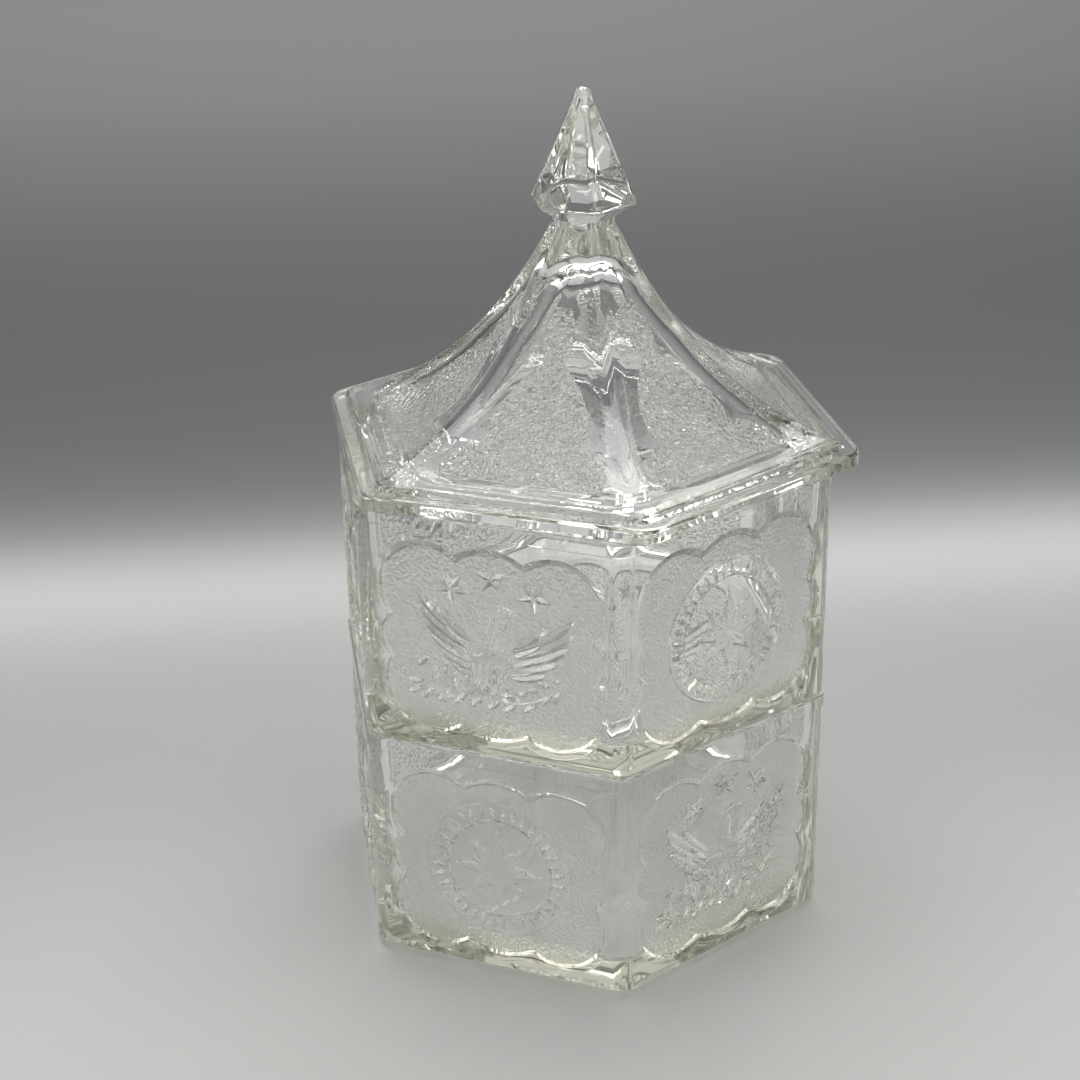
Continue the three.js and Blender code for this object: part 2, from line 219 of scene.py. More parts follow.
# %% Stipple
def make_stipple_group():
    group = bpy.data.node_groups.new("stipple", "ShaderNodeTree")
    face = group.interface
    face.new_socket("Grain Size", in_out="INPUT", socket_type="NodeSocketFloat")
    face.new_socket("Height", in_out="OUTPUT", socket_type="NodeSocketFloat")
    made, wire = group.nodes, group.links
    come = made.new("NodeGroupInput")
    leave = made.new("NodeGroupOutput")
    place = made.new("ShaderNodeTexCoord")
    per_grain = made.new("ShaderNodeMath")
    per_grain.operation = "DIVIDE"
    per_grain.inputs[0].default_value = 1
    waves = made.new("ShaderNodeTexNoise")
    waves.inputs["Detail"].default_value = 1
    waves.inputs["Roughness"].default_value = 0.35
    steep = made.new("ShaderNodeMapRange")
    steep.interpolation_type = "SMOOTHSTEP"
    steep.inputs["From Min"].default_value = 0.3
    steep.inputs["From Max"].default_value = 0.7
    wire.new(come.outputs["Grain Size"], per_grain.inputs[1])
    wire.new(place.outputs["Object"], waves.inputs["Vector"])
    wire.new(per_grain.outputs[0], waves.inputs["Scale"])
    wire.new(waves.outputs["Fac"], steep.inputs["Value"])
    wire.new(steep.outputs["Result"], leave.inputs["Height"])
    return group


stipple = make_stipple_group()
print("stipple takes:", [s.name for s in stipple.interface.items_tree])

# %% [markdown]
# The glass is clear with a faint warm grey where it is thick. That tint belongs to the inside of the
# glass, so it is an absorption in its volume and not a colour on its skin. A ray must leave a volume
# through the same material that it came in by, so a piece has one glass all over. Each face carries a
# mark between 0 for polished and 1 for stippled, and the material raises the bump and the frosting by it.


# %% Glass
def make_glass(name, grain, bump_depth, frost):
    material = bpy.data.materials.new(name)
    material.use_nodes = True
    made, wire = material.node_tree.nodes, material.node_tree.links
    glass = made["Principled BSDF"]
    glass.inputs["Base Color"].default_value = (1, 1, 1, 1)
    glass.inputs["IOR"].default_value = 1.5
    glass.inputs["Transmission Weight"].default_value = 1
    tint = made.new("ShaderNodeVolumeAbsorption")
    tint.inputs["Color"].default_value = (0.8, 0.8, 0.62, 1)
    tint.inputs["Density"].default_value = 6
    wire.new(tint.outputs["Volume"], made["Material Output"].inputs["Volume"])
    mark = made.new("ShaderNodeAttribute")
    mark.attribute_name = "stippled"
    dots = made.new("ShaderNodeGroup")
    dots.node_tree = stipple
    dots.inputs["Grain Size"].default_value = grain
    masked = made.new("ShaderNodeMath")
    masked.operation = "MULTIPLY"
    bump = made.new("ShaderNodeBump")
    bump.inputs["Strength"].default_value = 1
    bump.inputs["Distance"].default_value = bump_depth
    rough = made.new("ShaderNodeMapRange")
    rough.inputs["To Min"].default_value = 0.015
    rough.inputs["To Max"].default_value = frost
    wire.new(dots.outputs["Height"], masked.inputs[0])
    wire.new(mark.outputs["Fac"], masked.inputs[1])
    wire.new(masked.outputs[0], bump.inputs["Height"])
    wire.new(bump.outputs["Normal"], glass.inputs["Normal"])
    wire.new(mark.outputs["Fac"], rough.inputs["Value"])
    wire.new(rough.outputs["Result"], glass.inputs["Roughness"])
    return material


box_glass = make_glass("box_glass", grain=1.0 * MM, bump_depth=0.3 * MM, frost=0.28)
lid_glass = make_glass("lid_glass", grain=1.3 * MM, bump_depth=1.0 * MM, frost=0.03)
print("glass:", box_glass.name, lid_glass.name)

# %% [markdown]
# Each pressing is a stack of six-sided levels. By hand that is a six-cornered circle that is extruded
# and resized level by level, after which the edges that run up its corners are bevelled. Every level
# is half the width across the flats and the height, in millimetres.
#
# A pressing has four kinds of skin: fire-polished, stippled, worn where an edge has rubbed, and the
# slightly dulled reliefs. While the shapes are cut, the kind of a face is the number of its material
# slot, because the Boolean modifier keeps that.

# %% Helpers for shaping
FACE_TURN = math.radians(60)
HALF_ANGLE_TAN = math.tan(FACE_TURN / 2)
SMOOTH, STIPPLED, WORN, RELIEF = 0, 1, 2, 3
SKIN_MARKS = (0, 1, 0.4, 0.05)  # the mark that each kind gets


def face_ways(face):
    """The level directions out of one face of the hexagon and along it."""
    turn = (face + 0.5) * FACE_TURN - math.pi / 2
    out = Vector((math.cos(turn), math.sin(turn), 0))
    across = Vector((-math.sin(turn), math.cos(turn), 0))
    return out, across


def start_fresh():
    if bpy.context.object and bpy.context.object.mode != "OBJECT":
        bpy.ops.object.mode_set(mode="OBJECT")
    bpy.ops.object.select_all(action="DESELECT")


def only(obj):
    """Make this the one selected and active object."""
    start_fresh()
    obj.select_set(True)
    bpy.context.view_layer.objects.active = obj
    return obj


def settle(obj):
    """Put the object's place into its mesh."""
    only(obj)
    bpy.ops.object.transform_apply(location=True, rotation=True, scale=True)
    return obj


def face_outwards(obj):
    only(obj)
    bpy.ops.object.mode_set(mode="EDIT")
    bpy.ops.mesh.select_all(action="SELECT")
    bpy.ops.mesh.remove_doubles(threshold=1e-7)
    bpy.ops.mesh.normals_make_consistent(inside=False)
    bpy.ops.object.mode_set(mode="OBJECT")
    return obj


def stack(name, corners, levels, corner_round=0, steps=5, closing=()):
    """Extrude and resize a ring of corners through the levels, then round the upright edges."""
    start_fresh()
    across = math.cos(math.pi / corners)
    half, height = levels[0]
    bpy.ops.mesh.primitive_circle_add(
        vertices=corners,
        radius=half * MM / across,
        fill_type="NGON",
        location=(0, 0, height * MM),
    )
    body = settle(bpy.context.object)
    body.name = name
    bpy.ops.object.mode_set(mode="EDIT")
    bpy.ops.mesh.select_all(action="SELECT")
    for (half, height), (next_half, next_height) in zip(levels, levels[1:]):
        raise_ring(half, height, next_half, next_height)
    if corner_round:
        mesh = bmesh.from_edit_mesh(body.data)
        for edge in mesh.edges:
            a, b = (v.co for v in edge.verts)
            turn = abs(math.atan2(a.x * b.y - a.y * b.x, a.x * b.x + a.y * b.y))
            edge.select_set(turn < 0.01)
        bmesh.update_edit_mesh(body.data)
        bpy.ops.mesh.bevel(
            offset_type="ABSOLUTE",
            offset=corner_round * math.tan(math.pi / corners) * MM,
            segments=steps,
            affect="EDGES",
        )
    if closing:
        half, height = levels[-1]
        mesh = bmesh.from_edit_mesh(body.data)
        bpy.ops.mesh.select_all(action="DESELECT")
        top = max(mesh.faces, key=lambda f: (f.calc_center_median().z, f.calc_area()))
        top.select_set(True)
        bmesh.update_edit_mesh(body.data)
        for next_half, next_height in closing:
            raise_ring(half, height, next_half, next_height)
            half, height = next_half, next_height
    bpy.ops.object.mode_set(mode="OBJECT")
    return face_outwards(give_skins(body))


def give_skins(obj, skin=SMOOTH):
    """Make room for the kinds of skin, and give all faces one of them."""
    for _ in SKIN_MARKS:
        obj.data.materials.append(None)
    for polygon in obj.data.polygons:
        polygon.material_index = skin
    return obj


def raise_ring(half, height, next_half, next_height):
    rise = (next_height - height) * MM
    bpy.ops.mesh.extrude_region_move(TRANSFORM_OT_translate={"value": (0, 0, rise)})
    share = next_half / half
    bpy.ops.transform.resize(
        value=(share, share, 1), center_override=(0, 0, next_height * MM)
    )


def press(body, tool, operation="DIFFERENCE"):
    """Cut the tool out of the body, or join it on, and take the tool away."""
    only(body)
    cut = body.modifiers.new("press", "BOOLEAN")
    cut.operation = operation
    cut.solver = "MANIFOLD"
    cut.object = tool
    bpy.ops.object.modifier_apply(modifier=cut.name)
    bpy.data.objects.remove(tool)
    return body


def arc(half, height, radius, start, end, steps=4):
    """Levels along a quarter round: angles in degrees from straight out."""
    out = []
    for i in range(steps + 1):
        turn = math.radians(start + (end - start) * i / steps)
        out.append((half + radius * math.cos(turn), height + radius * math.sin(turn)))
    return out


# %% [markdown]
# The body of a box: a flat foot, a wall that rises straight to a plain band at the rim, and a rounded
# rim. The inside is wider at the mouth than at the floor, as the mould's plug has to come out, so it is
# a second stack that is cut out of the first.

# %% Box body
box_half, body_height, foot_height = 68.0, 72.0, 2.0
rim_height = body_height + foot_height
mouth_half, floor_half, floor_height = 63.4, 61.4, 8.0
band_low, band_step = rim_height - 4.8, 0.5
foot_half = mouth_half - 1.0
foot_round, lower_round, rim_round = 0.6, 0.8, 1.1
floor_round, mouth_round = 4, 0.7
corner_round, corner_steps = 6, 8


def box_body():
    band_half = box_half + band_step
    outside = stack(
        "box_outside",
        6,
        [
            (foot_half - foot_round, 0),
            *arc(foot_half - foot_round, foot_round, foot_round, -60, 0, 3),
            (foot_half, foot_height),
            (box_half - lower_round, foot_height),
            *arc(box_half - lower_round, foot_height + lower_round, lower_round, -68, 0, 4),
            (box_half, band_low),
            (band_half, band_low + band_step),
            *arc(band_half - rim_round, rim_height - rim_round, rim_round, 0, 80, 4),
        ],
        corner_round=corner_round,
        steps=corner_steps,
    )
    inside = stack(
        "box_inside",
        6,
        [
            (floor_half - floor_round, floor_height),
            *arc(floor_half - floor_round, floor_height + floor_round, floor_round, -75, 0, 5),
            *arc(mouth_half + mouth_round, rim_height - mouth_round, -mouth_round, 0, -80, 4),
            (mouth_half + 0.9, rim_height + 4),
        ],
        corner_round=corner_round,
        steps=6,
    )
    return press(outside, inside)


# %% [markdown]
# Each face carries a panel with a scalloped outline. The outline is a ring of eight lobes, each an arc
# of a circle: rows give the end of each lobe as shares of half the panel's width and height, and how far
# the lobe swells. A circle's points are moved onto the outline, and the ring is drawn in and down in
# steps, so the creases between the lobes come out mitred as on the real glass. The edge slopes gently
# at first and then drops to the ground of the panel, and that last step is worn.

# %% Scalloped panel
panel_margin = 3.36
panel_half_width = box_half * HALF_ANGLE_TAN - panel_margin
panel_half_height, panel_middle = 31.2, 35.2
panel_depth = 1.2
panel_edge = [(0.5, 0.2), (1.9, 0.5), (2.7, 1.2)]  # how far in, how deep
side_lobes = [
    (0.284, 0.906, 0.15),
    (0.919, 0.222, 0.411),
    (0.919, -0.222, 0.197),
    (0.284, -0.906, 0.385),
    (-0.284, -0.906, 0.12),
    (-0.919, -0.222, 0.385),
    (-0.919, 0.222, 0.197),
    (-0.284, 0.906, 0.411),
]


def lobe_points(a, b, swell, steps):
    """Points of one lobe from a to b, bulging to the left of the way."""
    chord = (b - a).length
    sag = chord * swell
    radius = (chord * chord / 4 + sag * sag) / (2 * sag)
    along = (b - a) / chord
    left = Vector((-along.y, along.x))
    centre = (a + b) / 2 + left * (sag - radius)
    half_turn = math.atan2(chord / 2, radius - sag)
    turns = [half_turn * (2 * i / steps - 1) for i in range(1, steps + 1)]
    return [centre + (along * math.sin(t) + left * math.cos(t)) * radius for t in turns]


def scalloped_outline(steps=20):
    ends = [
        Vector((x * panel_half_width, y * panel_half_height)) for x, y, _ in side_lobes
    ]
    points = []
    for i, (_, _, swell) in enumerate(side_lobes):
        points += lobe_points(ends[i - 1], ends[i], swell, steps)
    return points


def panel_cutter():
    """The cut of one panel, lying flat: x across, y up, z out of the wall from its face."""
    outline = scalloped_outline()
    start_fresh()
    bpy.ops.mesh.primitive_circle_add(
        vertices=len(outline), radius=30 * MM, fill_type="NGON"
    )
    cutter = bpy.context.object
    cutter.name = "panel_cutter"
    for vertex, point in zip(cutter.data.vertices, reversed(outline)):
        vertex.co = (point.x * MM, (point.y + panel_middle) * MM, 0)
    give_skins(cutter)
    bpy.ops.object.mode_set(mode="EDIT")
    bpy.ops.mesh.select_all(action="SELECT")
    bpy.ops.mesh.extrude_region_move(TRANSFORM_OT_translate={"value": (0, 0, 4 * MM)})
    mesh = bmesh.from_edit_mesh(cutter.data)
    bpy.ops.mesh.select_all(action="DESELECT")
    min(mesh.faces, key=lambda f: f.calc_center_median().z).select_set(True)
    bmesh.update_edit_mesh(cutter.data)
    inwards, depth = 0, 0
    for next_inwards, next_depth in panel_edge:
        bpy.ops.mesh.extrude_region_move(
            TRANSFORM_OT_translate={"value": (0, 0, (depth - next_depth) * MM)}
        )
        mesh = bmesh.from_edit_mesh(cutter.data)
        shift_inwards([v for v in mesh.verts if v.select], (next_inwards - inwards) * MM)
        bmesh.update_edit_mesh(cutter.data)
        inwards, depth = next_inwards, next_depth
    bpy.ops.mesh.select_all(action="SELECT")
    bpy.ops.mesh.normals_make_consistent(inside=False)
    mesh = bmesh.from_edit_mesh(cutter.data)
    for f in mesh.faces:
        if f.calc_center_median().z < -panel_edge[-2][1] * MM:
            f.material_index = WORN
    floor_face = min(mesh.faces, key=lambda f: f.calc_center_median().z)
    floor_face.material_index = STIPPLED
    bmesh.update_edit_mesh(cutter.data)
    bpy.ops.object.mode_set(mode="OBJECT")
    return cutter


def shift_inwards(vertices, distance):
    """Move a closed outline of points inwards by one distance, mitred at each corner."""
    ring = sorted(vertices, key=lambda v: v.index)
    places = [v.co.copy() for v in ring]
    area = sum(
        a.x * b.y - a.y * b.x for a, b in zip(places, places[1:] + places[:1])
    )
    side = 1 if area > 0 else -1
    count = len(places)
    for i, vertex in enumerate(ring):
        before = (places[i] - places[i - 1]).normalized()
        after = (places[(i + 1) % count] - places[i]).normalized()
        n1 = Vector((-before.y, before.x, 0)) * side
        n2 = Vector((-after.y, after.x, 0)) * side
        mitre = (n1 + n2).normalized()
        vertex.co = places[i] + mitre * (distance / max(mitre.dot(n1), 0.3))


# %% [markdown]
# The reliefs. They stand on the stippled ground, so each is cut out of the panel's cutter, and the glass
# stays there. Stars are circles with a raised middle and every other corner drawn in. Feathers and
# leaves are four-sided spheres drawn long, with a slight bend, which gives them a crisp crest.

# %% Relief shapes
ground = -panel_depth


def crested_star(
    place, radii, valley, low, high, turn=0.0, ring=(0.5, 0.9, 0.45), skin=SMOOTH
):
    """A star whose points have these radii in turn.

    ring is how far out its bevel ends, as a share, and the shares of the height that the crests
    and the valleys have there.
    """
    count = 2 * len(radii)

    def spot(i, share, height):
        reach = share * (radii[i // 2] if i % 2 == 0 else valley)
        angle = math.radians(turn) + i * math.pi / len(radii)
        x, y = place[0] + reach * math.sin(angle), place[1] + reach * math.cos(angle)
        return Vector((x, y, height)) * MM

    start_fresh()
    bpy.ops.mesh.primitive_circle_add(vertices=count, radius=MM, fill_type="NGON")
    star = bpy.context.object
    star.name = "star"
    for i, vertex in enumerate(star.data.vertices):
        vertex.co = spot(i, 1, low)
    give_skins(star, skin)
    bpy.ops.object.mode_set(mode="EDIT")
    bpy.ops.mesh.select_all(action="SELECT")
    bpy.ops.mesh.extrude_region_move(TRANSFORM_OT_translate={"value": (0, 0, -1 * MM)})
    mesh = bmesh.from_edit_mesh(star.data)
    bpy.ops.mesh.select_all(action="DESELECT")
    max(mesh.faces, key=lambda f: f.calc_center_median().z).select_set(True)
    bmesh.update_edit_mesh(star.data)
    bpy.ops.mesh.extrude_region_move(TRANSFORM_OT_translate={"value": (0, 0, 0)})
    mesh = bmesh.from_edit_mesh(star.data)
    inner = sorted((v for v in mesh.verts if v.select), key=lambda v: v.index)
    for i, vertex in enumerate(inner):
        vertex.co = spot(i, ring[0], low + (high - low) * ring[1 + i % 2])
    bmesh.update_edit_mesh(star.data)
    bpy.ops.mesh.poke()
    mesh = bmesh.from_edit_mesh(star.data)
    for f in mesh.faces:
        if f.select:
            f.material_index = SMOOTH
    peak = min(
        (v for v in mesh.verts if v.co.z > (low - 0.5) * MM),
        key=lambda v: (v.co.xy - Vector(place[:2]) * MM).length,
    )
    peak.co.z = high * MM
    bmesh.update_edit_mesh(star.data)
    bpy.ops.object.mode_set(mode="OBJECT")
    return face_outwards(star)


def ridge(start, end, width, height, bend=0.0, fullest=0.5, corners=4, base=ground):
    """A long pointed form with a crest, such as a feather or a leaf, lying from start to end."""
    start_fresh()
    bpy.ops.mesh.primitive_uv_sphere_add(segments=corners, ring_count=10, radius=1)
    leaf = bpy.context.object
    leaf.name = "leaf"
    a, b = Vector(start), Vector(end)
    length = (b - a).length
    along = (b - a) / length
    side = Vector((-along.y, along.x))
    for vertex in leaf.data.vertices:
        across, lift, way = vertex.co.x, vertex.co.y, vertex.co.z
        share = (way + 1) / 2
        share = share ** (math.log(fullest) / math.log(0.5))
        point = a + along * (share * length)
        point += side * (across * width / 2 + bend * 4 * share * (1 - share))
        vertex.co = (point.x * MM, point.y * MM, (base + lift * height) * MM)
    return face_outwards(give_skins(leaf, RELIEF))


# %% [markdown]
# The eagle spreads two wings of long feathers, with a shorter layer over them, round a shield with
# upright stripes. Three stars stand over its head and two laurel sprays lie under it.

# %% Eagle panel
wing_feathers = [  # start x, y, end x, y, width, bend
    (-5.6, 36.6, -22.4, 50.4, 3.3, 1.4),
    (-5.8, 34.4, -22.0, 46.4, 3.3, 1.3),
    (-5.8, 32.2, -20.6, 41.8, 3.1, 1.1),
    (-5.6, 30.2, -18.2, 37.4, 2.9, 0.9),
    (-5.2, 28.0, -15.2, 33.2, 2.7, 0.7),
    (-4.4, 25.6, -12.0, 29.4, 2.3, 0.4),
    (6.0, 35.6, 24.6, 48.2, 3.1, -1.4),
    (6.2, 33.6, 24.2, 43.6, 3.1, -1.2),
    (6.2, 31.6, 22.8, 39.0, 3.0, -1.0),
    (5.8, 29.4, 20.2, 34.2, 2.7, -0.8),
    (5.0, 27.2, 16.2, 29.8, 2.4, -0.6),
]
wing_covers = [
    (-6.0, 36.9, -16.2, 47.6, 3.4, 0.9),
    (-6.0, 34.0, -14.2, 41.6, 2.3, 0.4),
    (-6.0, 31.2, -13.0, 36.6, 2.1, 0.3),
    (6.0, 36.4, 16.6, 45.0, 3.3, -0.9),
    (6.2, 33.6, 15.6, 39.8, 2.3, -0.4),
    (6.2, 31.0, 14.6, 35.2, 2.1, -0.4),
    (5.4, 28.4, 12.8, 30.6, 1.8, -0.3),
]
laurel_leaves = [
    (-22.6, 26.3, -19.2, 30.3, 2.0, 0.2),
    (-18.1, 22.0, -16.3, 27.2, 2.0, 0.3),
    (-14.5, 25.3, -13.5, 29.5, 2.0, 0.3),
    (-11.7, 21.0, -10.5, 26.8, 2.0, 0.3),
    (-8.5, 21.2, -7.1, 26.4, 2.0, 0.3),
    (-4.5, 20.3, -3.5, 24.9, 2.0, 0.3),
    (-26.4, 21.6, -21.0, 22.2, 2.1, -0.2),
    (-26.1, 17.6, -21.7, 20.0, 2.1, -0.2),
    (-21.9, 16.3, -18.1, 20.3, 2.1, -0.3),
    (-16.9, 16.3, -13.1, 20.5, 2.1, -0.3),
    (-11.9, 16.5, -7.9, 20.5, 2.1, -0.3),
    (-6.9, 16.5, -2.7, 20.3, 2.1, -0.3),
    (-1.9, 16.4, 2.1, 19.6, 2.1, -0.3),
    (2.9, 16.2, 6.9, 19.4, 2.1, -0.3),
    (3.2, 20.9, 6.6, 22.1, 2.0, 0.2),
    (7.6, 22.1, 10.8, 23.3, 2.0, 0.2),
    (10.4, 24.6, 13.6, 24.2, 2.0, 0.2),
    (13.6, 27.5, 16.8, 26.1, 2.0, 0.2),
    (17.0, 29.7, 20.2, 27.9, 2.0, 0.2),
    (14.6, 20.1, 17.6, 23.9, 2.0, 0.2),
    (18.2, 21.5, 20.6, 25.5, 2.0, 0.2),
    (9.1, 17.2, 13.3, 19.8, 2.0, 0.2),
]
tail_feathers = [
    (-3.6, 24.6, -8.2, 19.8, 2.2, 0.4),
    (-2.0, 22.4, -4.6, 17.8, 2.2, 0.3),
    (0.4, 21.6, 0.2, 16.8, 2.2, 0.0),
    (2.4, 22.4, 4.6, 17.8, 2.2, -0.3),
    (3.8, 24.6, 8.0, 19.8, 2.2, -0.4),
]
stems = [
    (-25.4, 20.2, -2.0, 19.0, 0.9, -1.6),
    (2.0, 19.2, 20.4, 26.6, 0.9, -2.4),
]
shield_outline = [(-6.4, 30.8), (5.4, 30.8), (4.9, 26.4), (3.0, 23.2), (-0.4, 20.9)]
shield_outline += [(-3.8, 23.2), (-5.8, 26.4)]


def shield():
    start_fresh()
    bpy.ops.mesh.primitive_circle_add(vertices=7, radius=MM, fill_type="NGON")
    plate = bpy.context.object
    plate.name = "shield"
    for vertex, (x, y) in zip(plate.data.vertices, shield_outline):
        vertex.co = (x * MM, y * MM, (ground + 0.5) * MM)
    bpy.ops.object.mode_set(mode="EDIT")
    bpy.ops.mesh.select_all(action="SELECT")
    bpy.ops.mesh.extrude_region_move(TRANSFORM_OT_translate={"value": (0, 0, -1.2 * MM)})
    bpy.ops.object.mode_set(mode="OBJECT")
    face_outwards(plate)
    for i in range(5):
        x = -4.6 + 2.1 * i
        low = 21.6 + 0.9 * abs(x + 0.4)
        stripe = ridge((x, low), (x, 31.2), 1.4, 0.42, base=ground + 0.4)
        press(plate, stripe, "UNION")
    return plate


def eagle_cutter():
    cutter = panel_cutter()
    reliefs = []
    for x0, y0, x1, y1, width, bend in wing_feathers:
        reliefs.append(
            ridge((x0, y0), (x1, y1), width, 1.0, bend, fullest=0.6)
        )
    for x0, y0, x1, y1, width, bend in wing_covers:
        reliefs.append(
            ridge((x0, y0), (x1, y1), width, 1.1, bend, fullest=0.55)
        )
    for x0, y0, x1, y1, width, bend in laurel_leaves:
        reliefs.append(ridge((x0, y0), (x1, y1), width, 0.95, bend))
    for x0, y0, x1, y1, width, bend in tail_feathers:
        reliefs.append(ridge((x0, y0), (x1, y1), width, 0.6, bend, fullest=0.6))
    for x0, y0, x1, y1, width, bend in stems:
        reliefs.append(ridge((x0, y0), (x1, y1), width, 0.35, bend))
    reliefs.append(shield())
    reliefs.append(ridge((-7.4, 32.2), (7.2, 32.6), 4.2, 0.95, 0.9, corners=6))
    reliefs.append(ridge((0.0, 32.6), (3.2, 49.4), 7.2, 1.15, -0.6))
    reliefs.append(ridge((1.4, 46.4), (6.4, 47.4), 3.8, 1.0, 0.3, corners=8))
    reliefs.append(ridge((4.6, 47.8), (8.2, 46.6), 1.6, 0.85, 0.5))
    for x, y, turn in [(-11.6, 52.7, 36), (0.5, 57.2, 0), (12.9, 53.4, 36)]:
        reliefs.append(
            crested_star((x, y), [5.3] * 5, 2.2, ground + 0.05, ground + 1.1, turn)
        )
    for relief in reliefs:
        press(cutter, relief)
    return cutter


# %% [markdown]
# The medallion: an eight-pointed compass star on a smooth disc, inside a ring of small teeth.

# %% Medallion panel
medallion_middle = 35.5


def medallion_cutter():
    cutter = panel_cutter()
    plate = stack(
        "medallion",
        120,
        [
            (22.3, ground - 1),
            (22.3, ground),
            (21.9, ground + 0.25),
            (21.4, ground + 0.25),
            (21.1, ground + 0.12),
            (16.9, ground + 0.12),
            (16.5, ground + 0.6),
            (15.9, ground + 0.6),
            (15.5, ground + 0.1),
        ],
    )
    teeth = 36
    for i in range(teeth):
        turn = math.radians(360 / teeth * (i + 0.5))
        along = Vector((math.sin(turn), math.cos(turn)))
        tooth = ridge(along * 16.2, along * 21.0, 2.1, 0.85, base=ground + 0.05)
        press(plate, tooth, "UNION")
    plate.location = (0, medallion_middle * MM, 0)
    settle(plate)
    press(cutter, plate)
    radii = [14.0, 12.7, 14.3, 12.7, 14.0, 12.7, 14.3, 12.7]
    star = crested_star(
        (0, medallion_middle),
        radii,
        6.4,
        ground + 0.1,
        ground + 1.1,
        ring=(0.78, 0.75, 0.6),
        skin=WORN,
    )
    press(cutter, star)
    return cutter


# %% [markdown]
# One box is pressed with three eagles and three medallions in turn. The upper box is a copy of the
# lower, lifted and turned round by one face.


# %% Boxes
def on_face(cutter, face):
    """A copy of a flat cutter, stood up on one face of the hexagon."""
    copy = cutter.copy()
    copy.data = cutter.data.copy()
    bpy.context.collection.objects.link(copy)
    out, across = face_ways(face)
    up = Vector((0, 0, 1))
    place = Matrix((across, up, out)).transposed().to_4x4()
    place.translation = out * box_half * MM
    copy.data.transform(place)
    return copy


lower_box = box_body()
lower_box.name = "lower_box_glass"
eagle = eagle_cutter()
medallion = medallion_cutter()
for face in range(6):
    press(lower_box, on_face(eagle if face % 2 == 0 else medallion, face))
bpy.data.objects.remove(eagle)
bpy.data.objects.remove(medallion)
print("lower box faces:", len(lower_box.data.polygons))

# %% [markdown]
# Each piece is finished in the same way: the kinds of skin become marks, the glass goes on, flat faces
# stay flat while rounds are shaded smooth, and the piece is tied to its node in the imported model.


# %% Finish of a piece
crease_angle = math.radians(25)


def finish_glass(piece, node, glass):
    mark = piece.data.attributes.new("stippled", "FLOAT", "FACE")
    for polygon in piece.data.polygons:
        mark.data[polygon.index].value = SKIN_MARKS[polygon.material_index]
    piece.data.materials.clear()
    piece.data.materials.append(glass)
    only(piece)
    bpy.ops.object.shade_smooth_by_angle(angle=crease_angle)
    weigh = piece.modifiers.new("weigh", "WEIGHTED_NORMAL")
    weigh.keep_sharp = True
    bpy.ops.object.modifier_apply(modifier=weigh.name)
    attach(piece, node)
    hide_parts(node)
    triangles = sum(len(p.vertices) - 2 for p in piece.data.polygons)
    print(piece.name, "triangles:", triangles)


upper_box_height = 72.3
upper_box = lower_box.copy()
upper_box.data = lower_box.data.copy()
upper_box.name = "upper_box_glass"
bpy.context.collection.objects.link(upper_box)
upper_box.data.transform(
    Matrix.Translation((0, 0, upper_box_height * MM)) @ Matrix.Rotation(FACE_TURN, 4, "Z")
)
finish_glass(lower_box, "lower_box", box_glass)
finish_glass(upper_box, "upper_box", box_glass)

# %% [markdown]
# The lid: a flange with a locating lip under it, a hollow pagoda roof whose line is a curve between the
# neck and the ledge, and the spire. The inside is hollowed by a domed stack.

# %% Lid body
lid_half, flange_top = 71.5, 4.8
roof_foot_half, roof_foot_height, roof_top_height = 66.0, 6.6, 63.4
neck_half, roof_neck_half = 8.3, 9.3
lip_half, hollow_half = 58.0, 53.5
spire_half, spire_foot, spire_tip = 13.85, 71.8, 103.4
tip_round = 2.4


def curve_point(a, b, c, t):
    return tuple(
        (1 - t) ** 2 * p + 2 * t * (1 - t) * q + t * t * r for p, q, r in zip(a, b, c)
    )


def curve_slope(a, b, c, t):
    dx, dy = (
        2 * (1 - t) * (q - p) + 2 * t * (r - q) for p, q, r in zip(a, b, c)
    )
    length = math.hypot(dx, dy)
    return dx / length, dy / length


roof_line = [
    (roof_neck_half, roof_top_height),
    (31.8, 16.1),
    (roof_foot_half, roof_foot_height),
]
dome_half, dome_foot = 12.5, 46.2
hollow_line = [(dome_half, dome_foot), (30.0, 19.5), (hollow_half, 3.6)]
roof_steps, hollow_steps, dome_steps = 44, 24, 8


